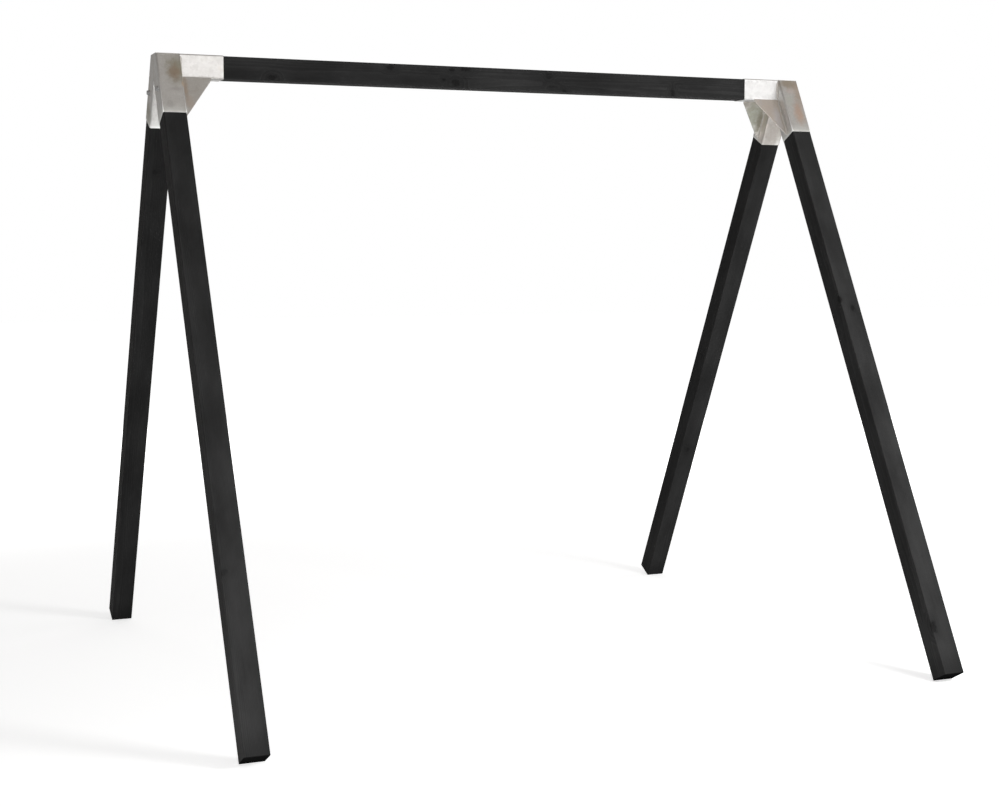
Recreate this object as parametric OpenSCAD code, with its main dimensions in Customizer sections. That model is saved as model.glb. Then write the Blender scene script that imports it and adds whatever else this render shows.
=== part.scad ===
// Swing frame of five square timber posts held by two welded corner brackets.
// The beam runs along X, the legs lean to the front and back along Y, the floor is at Z zero.
// Each bracket has one square tube for the beam and two leaning square tubes for the legs.

/* [Posts] */
// Width of each square post
post_width = 90; // [70:1:120]
// Radius of the eased long edges of a post
post_edge_radius = 3; // [2:0.5:8]
// Length of the top beam
beam_length = 2700; // [1500:10:3600]
// Length of each leg post
leg_length = 2700; // [1500:10:3300]
// Lean of each leg from upright, in degrees
leg_lean = 28; // [22:0.5:34]

/* [Tubes] */
// Wall of the bracket tubes
tube_wall = 2; // [1.5:0.25:5]
// Free space between a post and the tube around it, on each side
post_slack = 0.25; // [0.1:0.05:0.3]
// Free space between a post's end and whatever stops it
post_end_gap = 0.3; // [0.1:0.1:0.9]
// Length of beam that each bracket covers
beam_cover = 172; // [120:1:300]
// Length of leg that each bracket covers
leg_cover = 205; // [150:1:320]
// How far the outer face of a leg tube stands out from the beam tube at the top
leg_step = 4; // [0:0.5:10]
// Thickness of the cap plate that closes the top of the leg tubes
cap_thickness = 2; // [1.5:0.25:5]

/* [Gussets] */
// Thickness of a gusset plate
gusset_thickness = 4; // [2:0.5:8]
// Distance from the open end of the beam tube to the gusset
gusset_setback = 50; // [20:1:90]
// Distance from the open end of a leg tube to the gusset
gusset_foot_setback = 10; // [5:1:60]
// Blunt width left at the two points of a gusset
gusset_nose = 6; // [5:0.5:15]
// Gap between a gusset and the rounded edge of the beam tube
gusset_gap = 0.3; // [0.1:0.05:0.4]
// Size of the weld beads
weld_size = 3; // [2:0.5:4]

/* [Screws] */
// Diameter of the coach screws
screw_diameter = 10; // [6:0.5:12]
// Length of screw inside the post
screw_grip = 55; // [30:1:65]
// Length of the screw's pointed tip
screw_tip = 8; // [4:0.5:12]
// Free space around a screw in its hole
screw_slack = 0.3; // [0.2:0.05:0.5]
// Width of the hexagon head across its flats
head_across_flats = 17; // [13:0.5:19]
// Height of the hexagon head
head_height = 7; // [4:0.5:10]
// Height of the bevel at the top of the head
head_bevel = 1; // [0.5:0.25:2]
// Diameter of the washers
washer_diameter = 22; // [20:0.5:36]
// Thickness of the washers
washer_thickness = 2.5; // [1:0.25:4]
// Distance from a leg's top end to its screw
leg_screw_drop = 80; // [50:1:120]
// Distance of a leg screw from the leg axis, towards the outer face
leg_screw_offset = 14; // [0:1:20]
// Distance from the leg end of the beam tube to the beam screw
beam_screw_inset = 86; // [40:1:100]

/* [Hidden] */
$fn = 48;
// Extra length of a cutting shape past the face that it cuts
cut_over = 1;
hexagon_sides = 6;
left = -1;
right = 1;
front = -1;
back = 1;

// Tube section: the fold follows the eased edge of the post
tube_bore = post_width + 2 * post_slack;
tube_side = tube_bore + 2 * tube_wall;
tube_half = tube_side / 2;
tube_bore_radius = post_edge_radius + post_slack;
tube_radius = tube_bore_radius + tube_wall;

// Distance of a leg axis from the middle plane, at the height of the beam axis
leg_axis_y = tube_half + leg_step + tube_half * tan(leg_lean) - tube_half / cos(leg_lean);
// Distances down the leg axis from the height of the beam axis
leg_top = (post_width / 2 * cos(leg_lean) + post_end_gap - leg_axis_y) / sin(leg_lean);
leg_foot = leg_top + leg_length;
leg_tube_end = leg_top + leg_cover;
leg_screw_down = leg_top + leg_screw_drop;
// The inner edge of the square cut foot stands on the floor
beam_z = leg_foot * cos(leg_lean) + post_width / 2 * sin(leg_lean);
// Beam tube ends, from the middle of the beam
beam_tube_back = beam_length / 2 + post_end_gap;
beam_tube_mouth = beam_tube_back - beam_cover;
leg_axis_x = beam_tube_back + tube_half;

// Cap plate on the flat cut of the two leg tubes
cap_underside = beam_z + tube_half - cap_thickness;
cap_half_depth = tube_half + leg_step + cap_thickness * tan(leg_lean);

// Gusset in the middle plane of a leg
gusset_run = beam_cover - gusset_setback;
gusset_foot = leg_tube_end - gusset_foot_setback;
gusset_shoulder = tube_half / cos(leg_lean) + gusset_nose;
gusset_inner_y = leg_axis_y + tube_half * tan(leg_lean) - gusset_thickness / 2 / cos(leg_lean);

// Weld runs
upright_weld_foot = tube_radius + weld_size - tube_half;
upright_weld_head = tube_half - max(tube_radius,
    (weld_size + tube_radius / cos(leg_lean) - leg_step) / tan(leg_lean));
under_weld_half = min(tube_half - tube_radius, gusset_inner_y - weld_size);
gusset_weld_top = (tube_half + weld_size) / cos(leg_lean);
gusset_weld_end = gusset_foot - weld_size;

// Screw parts
screw_hole_radius = screw_diameter / 2 + screw_slack;
screw_shank = tube_wall + post_slack + screw_grip;
head_corner_radius = head_across_flats / 2 / cos(180 / hexagon_sides);
head_flat_radius = head_across_flats / 2;

// Square with round corners, about the origin
module rounded_square(width, depth, radius) {
    square([width - 2 * radius, depth], center = true);
    square([width, depth - 2 * radius], center = true);
    for (x = [-1, 1], y = [-1, 1])
        translate([x * (width / 2 - radius), y * (depth / 2 - radius)])
            circle(radius);
}

// Solid bar with the outline of a post, standing on the origin
module post_bar(length) {
    linear_extrude(length)
        rounded_square(post_width, post_width, post_edge_radius);
}

// Solid bar with the outline of a bracket tube, standing on the origin
module tube_bar(length, spare = 0) {
    linear_extrude(length)
        rounded_square(tube_side + 2 * spare, tube_side + 2 * spare, tube_radius + spare);
}

// Open tube standing on the origin
module tube(length) {
    difference() {
        tube_bar(length);
        translate([0, 0, -cut_over])
            linear_extrude(length + 2 * cut_over)
                rounded_square(tube_bore, tube_bore, tube_bore_radius);
    }
}

// Lay a standing shape along the beam, from a place on the beam axis towards +X
module along_beam(start) {
    translate([start, 0, beam_z])
        rotate([0, 90, 0])
            children();
}

// Put a shape on a leg axis: Z runs up the leg, zero is at the height of the beam axis
module on_leg(side, way) {
    translate([side * leg_axis_x, way * leg_axis_y, beam_z])
        rotate([way * leg_lean, 0, 0])
            children();
}

// Put a shape on the outer side of a leg tube, with Z pointing away from the frame
module at_leg_screw(side, way) {
    on_leg(side, way)
        translate([side * tube_half, way * leg_screw_offset, -leg_screw_down])
            rotate([0, side * 90, 0])
                children();
}

// Put a shape on the back of a beam tube, with Z pointing to the back
module at_beam_screw(side) {
    translate([side * (beam_tube_back - beam_screw_inset), tube_half, beam_z])
        rotate([-90, 0, 0])
            children();
}

// Hole for a screw through the tube wall and into the post
module screw_hole() {
    translate([0, 0, -screw_shank - cut_over])
        cylinder(h = screw_shank + 2 * cut_over, r = screw_hole_radius);
}

module screw() {
    // Pointed tip
    translate([0, 0, -screw_shank])
        cylinder(h = screw_tip, r1 = 0, r2 = screw_diameter / 2);
    // Shank
    translate([0, 0, screw_tip - screw_shank])
        cylinder(h = screw_shank - screw_tip + washer_thickness, r = screw_diameter / 2);
    // Hexagon head with bevelled corners
    translate([0, 0, washer_thickness])
        intersection() {
            cylinder(h = head_height, r = head_corner_radius, $fn = hexagon_sides);
            union() {
                cylinder(h = head_height - head_bevel, r = head_corner_radius);
                translate([0, 0, head_height - head_bevel])
                    cylinder(h = head_bevel, r1 = head_corner_radius, r2 = head_flat_radius);
            }
        }
}

module washer() {
    difference() {
        cylinder(h = washer_thickness, r = washer_diameter / 2);
        translate([0, 0, -cut_over])
            cylinder(h = washer_thickness + 2 * cut_over, r = screw_hole_radius);
    }
}

// Quarter round bead in the corner of two faces, standing on the origin
module bead(length) {
    linear_extrude(length)
        intersection() {
            circle(weld_size);
            square(weld_size);
        }
}

module beam_post() {
    color("dimgray")
        difference() {
            along_beam(-beam_length / 2)
                post_bar(beam_length);
            for (side = [left, right])
                at_beam_screw(side)
                    screw_hole();
        }
}

module leg_post(side, way) {
    color("dimgray")
        difference() {
            on_leg(side, way)
                translate([0, 0, -leg_foot])
                    post_bar(leg_length);
            at_leg_screw(side, way)
                screw_hole();
        }
}

module beam_tube(side) {
    color("silver")
        difference() {
            along_beam(side == left ? -beam_tube_back : beam_tube_mouth)
                tube(beam_cover);
            at_beam_screw(side)
                screw_hole();
        }
}

// One leaning tube: mitred where it meets its partner and cut level under the cap
module leg_tube(side, way) {
    color("lightgray")
        difference() {
            on_leg(side, way)
                translate([0, 0, -leg_tube_end])
                    tube(leg_tube_end + tube_side);
            at_leg_screw(side, way)
                screw_hole();
            // Everything past the middle plane belongs to the partner
            translate([side * leg_axis_x, -way * leg_tube_end, beam_z])
                cube(2 * leg_tube_end, center = true);
            // Everything above the underside of the cap
            translate([side * leg_axis_x, 0, cap_underside + leg_tube_end])
                cube(2 * leg_tube_end, center = true);
        }
}

module cap_plate(side) {
    color("gainsboro")
        translate([side * leg_axis_x, 0, cap_underside])
            linear_extrude(cap_thickness)
                rounded_square(tube_side, 2 * cap_half_depth, tube_radius);
}

// Triangle between a leg tube and the lower edge of the beam tube
module gusset(side, way) {
    outline = [
        [tube_half, 0],
        [tube_half + gusset_run, 0],
        [tube_half + gusset_run, -gusset_shoulder],
        [tube_half + gusset_nose, -gusset_foot],
        [tube_half, -gusset_foot]
    ];
    color("darkgray")
        difference() {
            on_leg(side, way)
                mirror([side == right ? 1 : 0, 0, 0])
                    rotate([90, 0, 0])
                        translate([0, 0, -gusset_thickness / 2])
                            linear_extrude(gusset_thickness)
                                polygon(outline);
            along_beam(side * leg_axis_x - leg_tube_end)
                tube_bar(2 * leg_tube_end, gusset_gap);
        }
}

module weld_beads(side) {
    inward = -side;
    color("gray") {
        // Upright beads between the beam tube's faces and the leg tubes
        for (way = [front, back])
            translate([side * beam_tube_back, way * tube_half, beam_z + upright_weld_foot])
                mirror([inward == left ? 1 : 0, 0, 0])
                    mirror([0, way == front ? 1 : 0, 0])
                        bead(upright_weld_head - upright_weld_foot);
        // Bead under the beam tube
        translate([side * beam_tube_back, under_weld_half, beam_z - tube_half])
            mirror([inward == left ? 1 : 0, 0, 0])
                rotate([90, 0, 0])
                    mirror([0, 1, 0])
                        bead(2 * under_weld_half);
        // Beads on both faces of each gusset, down the leg tube
        for (way = [front, back], face = [-1, 1])
            on_leg(side, way)
                translate([inward * tube_half, face * gusset_thickness / 2, -gusset_weld_end])
                    mirror([inward == left ? 1 : 0, 0, 0])
                        mirror([0, face == -1 ? 1 : 0, 0])
                            bead(gusset_weld_end - gusset_weld_top);
    }
}

module leg_screws(side) {
    color("lightsteelblue")
        for (way = [front, back])
            at_leg_screw(side, way)
                screw();
}

module leg_washers(side) {
    color("slategray")
        for (way = [front, back])
            at_leg_screw(side, way)
                washer();
}

module beam_screws() {
    color("lightsteelblue")
        for (side = [left, right])
            at_beam_screw(side)
                screw();
}

module beam_washers() {
    color("slategray")
        for (side = [left, right])
            at_beam_screw(side)
                washer();
}

beam_post();  // top_beam
leg_post(left, front);  // left_front_leg
leg_post(left, back);  // left_back_leg
leg_post(right, front);  // right_front_leg
leg_post(right, back);  // right_back_leg
beam_tube(left);  // left_beam_tube
beam_tube(right);  // right_beam_tube
leg_tube(left, front);  // left_front_leg_tube
leg_tube(left, back);  // left_back_leg_tube
leg_tube(right, front);  // right_front_leg_tube
leg_tube(right, back);  // right_back_leg_tube
cap_plate(left);  // left_cap_plate
cap_plate(right);  // right_cap_plate
gusset(left, front);  // left_front_gusset
gusset(left, back);  // left_back_gusset
gusset(right, front);  // right_front_gusset
gusset(right, back);  // right_back_gusset
weld_beads(left);  // left_weld_beads
weld_beads(right);  // right_weld_beads
leg_screws(left);  // left_leg_screws
leg_screws(right);  // right_leg_screws
leg_washers(left);  // left_leg_washers
leg_washers(right);  // right_leg_washers
beam_screws();
beam_washers();
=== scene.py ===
"""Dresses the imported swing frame: black-stained posts in galvanised corner brackets, in a pale studio."""
import logging
import math
import random
from collections.abc import Iterator
from dataclasses import dataclass
from enum import Enum

import bmesh
import bpy
from mathutils import Matrix, Vector


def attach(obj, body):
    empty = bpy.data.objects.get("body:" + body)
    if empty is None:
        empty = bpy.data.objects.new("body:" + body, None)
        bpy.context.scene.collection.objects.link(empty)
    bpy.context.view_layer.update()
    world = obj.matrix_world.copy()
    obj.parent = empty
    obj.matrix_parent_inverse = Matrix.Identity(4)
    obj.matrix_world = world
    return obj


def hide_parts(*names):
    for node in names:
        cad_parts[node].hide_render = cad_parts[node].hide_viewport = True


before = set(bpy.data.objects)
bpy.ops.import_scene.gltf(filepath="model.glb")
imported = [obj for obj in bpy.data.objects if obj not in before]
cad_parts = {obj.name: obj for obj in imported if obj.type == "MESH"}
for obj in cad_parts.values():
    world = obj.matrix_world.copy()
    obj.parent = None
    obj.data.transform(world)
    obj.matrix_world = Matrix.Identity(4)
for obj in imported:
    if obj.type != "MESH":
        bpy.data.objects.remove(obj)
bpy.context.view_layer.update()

Colour = tuple[float, float, float, float]
Point = tuple[float, float, float]
Span = tuple[float, float]
Faces = tuple[tuple[int, int], ...]
Feed = bpy.types.NodeSocket | float | tuple[float, ...]
Sockets = bpy.types.bpy_prop_collection

log = logging.getLogger("swing_frame")


class Side(Enum):
    """Which end of the beam a bracket or leg is on, as a sign along X."""

    LEFT = -1
    RIGHT = 1


class Way(Enum):
    """Which way a leg leans, as a sign along Y."""

    FRONT = -1
    BACK = 1


class Slot(Enum):
    """The record's material slots."""

    TIMBER = "black_timber"
    TUBE = "galvanised_tube"
    PLATE = "galvanised_plate"
    WELD = "galvanised_weld"
    SCREW = "galvanised_screw"


@dataclass(frozen=True)
class FrameSizes:
    """Sizes of the frame in metres and radians, the same as in the part's source."""

    post_width: float = 0.090
    beam_length: float = 2.7
    leg_length: float = 2.7
    leg_lean: float = math.radians(28)
    tube_wall: float = 0.002
    post_edge_radius: float = 0.003
    post_slack: float = 0.00025
    post_end_gap: float = 0.0003
    leg_cover: float = 0.205
    leg_step: float = 0.004
    cap_thickness: float = 0.002
    gusset_thickness: float = 0.004
    gusset_foot_setback: float = 0.010
    weld_size: float = 0.003

    @property
    def tube_half(self) -> float:
        """Half the outside width of a bracket tube."""
        return self.post_width / 2 + self.post_slack + self.tube_wall

    @property
    def tube_radius(self) -> float:
        """Outside radius of a tube's folds."""
        return self.post_edge_radius + self.post_slack + self.tube_wall

    @property
    def leg_axis_y(self) -> float:
        """Distance of a leg axis from the middle plane, at the height of the beam axis."""
        lean = self.tube_half * math.tan(self.leg_lean) - self.tube_half / math.cos(self.leg_lean)
        return self.tube_half + self.leg_step + lean

    @property
    def leg_top(self) -> float:
        """Distance down a leg axis from the beam axis to the top of the post."""
        half_reach = self.post_width / 2 * math.cos(self.leg_lean)
        return (half_reach + self.post_end_gap - self.leg_axis_y) / math.sin(self.leg_lean)

    @property
    def leg_tube_end(self) -> float:
        """Distance down a leg axis from the beam axis to the mouth of the leg tube."""
        return self.leg_top + self.leg_cover

    @property
    def leg_foot(self) -> float:
        """Distance down a leg axis from the beam axis to the foot of the post."""
        return self.leg_top + self.leg_length

    @property
    def beam_z(self) -> float:
        """Height of the beam axis above the floor."""
        return self.leg_foot * math.cos(self.leg_lean) + self.post_width / 2 * math.sin(self.leg_lean)

    @property
    def beam_tube_back(self) -> float:
        """Distance from the middle of the beam to the leg end of a beam tube."""
        return self.beam_length / 2 + self.post_end_gap

    @property
    def leg_axis_x(self) -> float:
        """Distance from the middle of the beam to a leg axis."""
        return self.beam_tube_back + self.tube_half

    @property
    def crotch_drop(self) -> float:
        """Distance from the beam axis down to the place where the two leg tubes part."""
        return (self.tube_half / math.cos(self.leg_lean) - self.leg_axis_y) / math.tan(self.leg_lean)

    def leg_place(self, side: Side, way: Way) -> Matrix:
        """Place of a leg: Z runs up the leg, zero is at the height of the beam axis.

        Args:
            side: End of the beam that the leg is on.
            way: Way that the leg leans.

        Returns:
            The matrix from the leg's own axes to the frame's.
        """
        origin = Vector((side.value * self.leg_axis_x, way.value * self.leg_axis_y, self.beam_z))
        return Matrix.Translation(origin) @ Matrix.Rotation(way.value * self.leg_lean, 4, "X")

    def beam_place(self) -> Matrix:
        """Place of the beam: Z runs along the beam from its middle."""
        return Matrix.Translation((0, 0, self.beam_z)) @ Matrix.Rotation(math.pi / 2, 4, "Y")


SIZES = FrameSizes()


class Graph:
    """Places and links the nodes of one shader tree."""

    noise_middle: float = 0.5
    bend_detail: float = 3.0

    def __init__(self, tree: bpy.types.NodeTree) -> None:
        """Starts with an empty tree."""
        self.tree = tree
        tree.nodes.clear()

    def place(self, kind: str, feeds: dict[str | int, Feed] | None = None,
              **settings: object) -> bpy.types.Node:
        """Adds one node.

        Args:
            kind: Blender's name of the node type.
            feeds: A socket to link or a value to set, by input name or number.
            **settings: Properties of the node.

        Returns:
            The new node.
        """
        node = self.tree.nodes.new(kind)
        for name, value in settings.items():
            setattr(node, name, value)
        for key, value in (feeds or {}).items():
            self.feed(node.inputs[key], value)
        return node

    def feed(self, socket: bpy.types.NodeSocket, value: Feed) -> None:
        """Links a socket to an input, or sets the input's own value.

        Args:
            socket: The input.
            value: What it takes.
        """
        if isinstance(value, bpy.types.NodeSocket):
            self.tree.links.new(value, socket)
        else:
            socket.default_value = value

    def math(self, operation: str, *operands: Feed) -> bpy.types.NodeSocket:
        """One step of arithmetic on values."""
        return self.place("ShaderNodeMath", dict(enumerate(operands)), operation=operation).outputs[0]

    def gap(self, first: Feed, second: Feed) -> bpy.types.NodeSocket:
        """Distance between two values."""
        return self.math("ABSOLUTE", self.math("SUBTRACT", first, second))

    def vector(self, operation: str, *operands: Feed) -> bpy.types.NodeSocket:
        """One step of arithmetic on vectors, giving a vector."""
        return self.place("ShaderNodeVectorMath", dict(enumerate(operands)), operation=operation).outputs[0]

    def length(self, operand: Feed) -> bpy.types.NodeSocket:
        """Length of a vector."""
        return self.place("ShaderNodeVectorMath", {0: operand}, operation="LENGTH").outputs["Value"]

    def split(self, operand: Feed) -> Sockets:
        """The three parts of a vector."""
        return self.place("ShaderNodeSeparateXYZ", {0: operand}).outputs

    def distance(self, where: Feed, centre: Feed, reach: Feed) -> bpy.types.NodeSocket:
        """Distance from a centre, as a share of a reach along each axis."""
        return self.length(self.vector("DIVIDE", self.vector("SUBTRACT", where, centre), reach))

    def edge_inset(self, where: Feed, half_width: Feed) -> bpy.types.NodeSocket:
        """Distance across a face of a square section along Z from its nearest long edge."""
        across = self.split(self.vector("ABSOLUTE", where))
        return self.math("SUBTRACT", half_width, self.math("MINIMUM", across[0], across[1]))

    def drawn_out(self, where: Feed, share: float) -> bpy.types.NodeSocket:
        """A position shortened along Z, so that a pattern over it is drawn out that way."""
        return self.vector("MULTIPLY", where, (1.0, 1.0, share))

    def fade(self, value: Feed, start: Feed, end: Feed,
             low: Feed = 0.0, high: Feed = 1.0) -> bpy.types.NodeSocket:
        """Smooth step from low to high as a value goes from start to end."""
        feeds = {"Value": value, "From Min": start, "From Max": end, "To Min": low, "To Max": high}
        return self.place("ShaderNodeMapRange", feeds, interpolation_type="SMOOTHSTEP").outputs["Result"]

    def mix(self, share: Feed, first: Feed, second: Feed) -> bpy.types.NodeSocket:
        """Mixes two colours.

        Args:
            share: Share of the second colour.
            first: First colour.
            second: Second colour.

        Returns:
            The mixed colour.
        """
        feeds = {0: share, 6: first, 7: second}
        node = self.place("ShaderNodeMix", feeds, data_type="RGBA", blend_type="MIX", clamp_factor=True)
        return node.outputs[2]

    def shade(self, colour: Feed, level: Feed) -> bpy.types.NodeSocket:
        """A colour times a level."""
        return self.place("ShaderNodeVectorMath", {0: colour, "Scale": level}, operation="SCALE").outputs[0]

    def noise(self, where: Feed, scale: float, detail: float, rough: float = 0.5) -> bpy.types.Node:
        """Cloudy noise over a position, as Fac and as Color."""
        feeds = {"Vector": where, "Scale": scale, "Detail": detail, "Roughness": rough}
        return self.place("ShaderNodeTexNoise", feeds, noise_dimensions="3D")

    def bend(self, where: Feed, pattern: Feed, scale: float, reach: Point) -> bpy.types.NodeSocket:
        """Pushes a position about by cloudy noise.

        Args:
            where: The position.
            pattern: Position that the noise is read at.
            scale: Scale of the noise.
            reach: How far the noise pushes along each axis.

        Returns:
            The pushed position.
        """
        cloud = self.noise(pattern, scale, self.bend_detail).outputs["Color"]
        push = self.vector("SUBTRACT", cloud, (self.noise_middle,) * 3)
        return self.vector("ADD", where, self.vector("MULTIPLY", push, reach))

    def own_position(self, place: Matrix) -> bpy.types.NodeSocket:
        """Object coordinates turned into a piece's own axes.

        Args:
            place: The matrix from the piece's own axes to the frame's.

        Returns:
            The position in the piece's own axes.
        """
        coordinates = self.place("ShaderNodeTexCoord").outputs["Object"]
        feeds = {"Vector": coordinates, "Location": place.to_translation(), "Rotation": place.to_euler()}
        return self.place("ShaderNodeMapping", feeds, vector_type="TEXTURE").outputs[0]


class ShaderGroup:
    """One shared effect, built once as a node group and placed in each finish with its own values."""

    name: str = ""
    inputs: dict[str, str] = {}
    outputs: dict[str, str] = {}

    def __init__(self) -> None:
        """Builds the group."""
        self.tree = bpy.data.node_groups.new(self.name, "ShaderNodeTree")
        for way, sockets in (("INPUT", self.inputs), ("OUTPUT", self.outputs)):
            for socket, kind in sockets.items():
                self.tree.interface.new_socket(name=socket, in_out=way, socket_type=f"NodeSocket{kind}")
        graph = Graph(self.tree)
        source = graph.place("NodeGroupInput")
        made = self.build(graph, source.outputs)
        graph.place("NodeGroupOutput", made)

    def build(self, graph: Graph, given: Sockets) -> dict[str, Feed]:
        """Places the group's nodes.

        Args:
            graph: The group's own graph.
            given: The group's input sockets, by name.

        Returns:
            What goes to each output, by name.
        """
        raise NotImplementedError

    def use(self, graph: Graph, feeds: dict[str, Feed]) -> Sockets:
        """Places the group in a material.

        Args:
            graph: The material's graph.
            feeds: A socket to link or a value to set, by the name of the group's input.

        Returns:
            The group's output sockets, by name.
        """
        node = graph.place("ShaderNodeGroup", node_tree=self.tree)
        for name, value in feeds.items():
            graph.feed(node.inputs[name], value)
        return node.outputs


class GrowthRings(ShaderGroup):
    """Growth rings round a pith line along Z, with fine fibres along it."""

    name = "growth_rings"
    inputs = {"Vector": "Vector", "Pith": "Vector", "Ring Width": "Float", "Bulge": "Float"}
    outputs = {"Tone": "Float", "Height": "Float"}
    waver_draw: float = 0.07
    waver_scale: float = 14.0
    waver_reach: Point = (0.022, 0.022, 0.0)
    late_power: float = 2.2
    ring_end: float = 0.9
    fibre_draw: float = 0.018
    fibre_scale: float = 520.0
    fibre_detail: float = 3.0
    fibre_rough: float = 0.6
    tone_shares: Span = (0.55, 0.5)
    height_shares: Span = (0.6, 0.7)

    def build(self, graph: Graph, given: Sockets) -> dict[str, Feed]:
        """Places the group's nodes.

        Args:
            graph: The group's own graph.
            given: The group's input sockets, by name.

        Returns:
            Tone and height of the grain.
        """
        slow = graph.drawn_out(given["Vector"], self.waver_draw)
        bent = graph.bend(given["Vector"], slow, self.waver_scale, self.waver_reach)
        from_pith = graph.drawn_out(graph.vector("SUBTRACT", bent, given["Pith"]), 0.0)
        radius = graph.math("ADD", graph.length(from_pith), given["Bulge"])
        ring = graph.math("FRACT", graph.math("DIVIDE", radius, given["Ring Width"]))
        late = graph.math("POWER", ring, self.late_power)
        late = graph.math("MULTIPLY", late, graph.fade(ring, self.ring_end, 1.0, 1.0, 0.0))
        drawn = graph.drawn_out(given["Vector"], self.fibre_draw)
        fibre = graph.noise(drawn, self.fibre_scale, self.fibre_detail, self.fibre_rough).outputs["Fac"]
        made = {}
        for output, (late_share, fibre_share) in (("Tone", self.tone_shares), ("Height", self.height_shares)):
            part = graph.math("MULTIPLY", fibre, fibre_share)
            made[output] = graph.math("MULTIPLY_ADD", late, late_share, part)
        return made


class KnotSpot(ShaderGroup):
    """One knot: a dark core with rings of its own and a halo that pushes the grain aside."""

    name = "knot_spot"
    inputs = {"Vector": "Vector", "Centre": "Vector", "Radius": "Float", "Stretch": "Vector",
              "Ragged": "Float"}
    outputs = {"Core": "Float", "Halo": "Float"}
    ring_turns: float = 16.0
    ring_depth: float = 0.7
    core_edge: Span = (0.55, 1.05)
    halo_edge: Span = (0.6, 3.0)

    def build(self, graph: Graph, given: Sockets) -> dict[str, Feed]:
        """Places the group's nodes.

        Args:
            graph: The group's own graph.
            given: The group's input sockets, by name.

        Returns:
            Masks of the core and of the halo.
        """
        away = graph.distance(given["Vector"], given["Centre"], given["Stretch"])
        share = graph.math("DIVIDE", away, given["Radius"])
        worn = graph.math("ADD", share, given["Ragged"])
        ring = graph.math("SINE", graph.math("MULTIPLY", worn, self.ring_turns))
        rings = graph.fade(ring, -1.0, 1.0, self.ring_depth, 1.0)
        core = graph.math("MULTIPLY", graph.fade(worn, *self.core_edge, 1.0, 0.0), rings)
        return {"Core": core, "Halo": graph.fade(share, *self.halo_edge, 1.0, 0.0)}


class StainWear(ShaderGroup):
    """How a stain lies on a square post: clouds along it, thin places on the long edges, fine cracks."""

    name = "stain_wear"
    inputs = {"Vector": "Vector", "Half Width": "Float"}
    outputs = {"Cloud": "Float", "Edge": "Float", "Crack": "Float"}
    cloud_draw: float = 0.35
    cloud_scale: float = 9.0
    cloud_detail: float = 4.0
    cloud_rough: float = 0.55
    rub_draw: float = 0.2
    rub_scale: float = 60.0
    rub_detail: float = 3.0
    rub_range: Span = (0.38, 0.68)
    edge_reach: Span = (0.001, 0.006)
    crack_draw: float = 0.012
    crack_scale: float = 38.0
    crack_width: Span = (0.002, 0.009)
    cracked_scale: float = 5.0
    cracked_range: Span = (0.56, 0.64)
    plain_detail: float = 1.0

    def build(self, graph: Graph, given: Sockets) -> dict[str, Feed]:
        """Places the group's nodes.

        Args:
            graph: The group's own graph.
            given: The group's input sockets, by name.

        Returns:
            Clouds of the stain, and masks of worn edges and cracks.
        """
        where = given["Vector"]
        slow = graph.drawn_out(where, self.cloud_draw)
        cloud = graph.noise(slow, self.cloud_scale, self.cloud_detail, self.cloud_rough).outputs["Fac"]
        near_edge = graph.fade(graph.edge_inset(where, given["Half Width"]), *self.edge_reach, 1.0, 0.0)
        drawn = graph.drawn_out(where, self.rub_draw)
        rub = graph.noise(drawn, self.rub_scale, self.rub_detail).outputs["Fac"]
        edge = graph.math("MULTIPLY", near_edge, graph.fade(rub, *self.rub_range))
        long_drawn = graph.drawn_out(where, self.crack_draw)
        line = graph.noise(long_drawn, self.crack_scale, self.plain_detail).outputs["Fac"]
        thin_line = graph.fade(graph.gap(line, graph.noise_middle), *self.crack_width, 1.0, 0.0)
        cracked = graph.noise(slow, self.cracked_scale, self.plain_detail).outputs["Fac"]
        crack = graph.math("MULTIPLY", thin_line, graph.fade(cracked, *self.cracked_range))
        return {"Cloud": cloud, "Edge": edge, "Crack": crack}


class ZincBloom(ShaderGroup):
    """Crystals, clouds, frost and run marks along Z of a hot-dip zinc coat."""

    name = "zinc_bloom"
    inputs = {"Vector": "Vector", "Crystal Size": "Float"}
    outputs = {"Crystal": "Float", "Cloud": "Float", "Frost": "Float", "Streak": "Float"}
    waver_scale: float = 160.0
    waver_reach: Point = (0.008, 0.008, 0.008)
    cloud_scale: float = 16.0
    cloud_detail: float = 4.0
    frost_scale: float = 900.0
    frost_detail: float = 2.0
    soft_rough: float = 0.6
    streak_draw: float = 0.14
    streak_scale: float = 75.0
    streak_detail: float = 3.0
    streak_rough: float = 0.55

    def build(self, graph: Graph, given: Sockets) -> dict[str, Feed]:
        """Places the group's nodes.

        Args:
            graph: The group's own graph.
            given: The group's input sockets, by name.

        Returns:
            The four patterns of the coat.
        """
        where = given["Vector"]
        bent = graph.bend(where, where, self.waver_scale, self.waver_reach)
        scale = graph.math("DIVIDE", 1.0, given["Crystal Size"])
        cell = graph.place("ShaderNodeTexVoronoi", {"Vector": bent, "Scale": scale}, feature="F1")
        crystal = graph.place("ShaderNodeSeparateColor", {0: cell.outputs["Color"]}).outputs[0]
        cloud = graph.noise(where, self.cloud_scale, self.cloud_detail, self.soft_rough).outputs["Fac"]
        frost = graph.noise(where, self.frost_scale, self.frost_detail, self.soft_rough).outputs["Fac"]
        drawn = graph.drawn_out(where, self.streak_draw)
        streak = graph.noise(drawn, self.streak_scale, self.streak_detail, self.streak_rough).outputs["Fac"]
        return {"Crystal": crystal, "Cloud": cloud, "Frost": frost, "Streak": streak}


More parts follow.
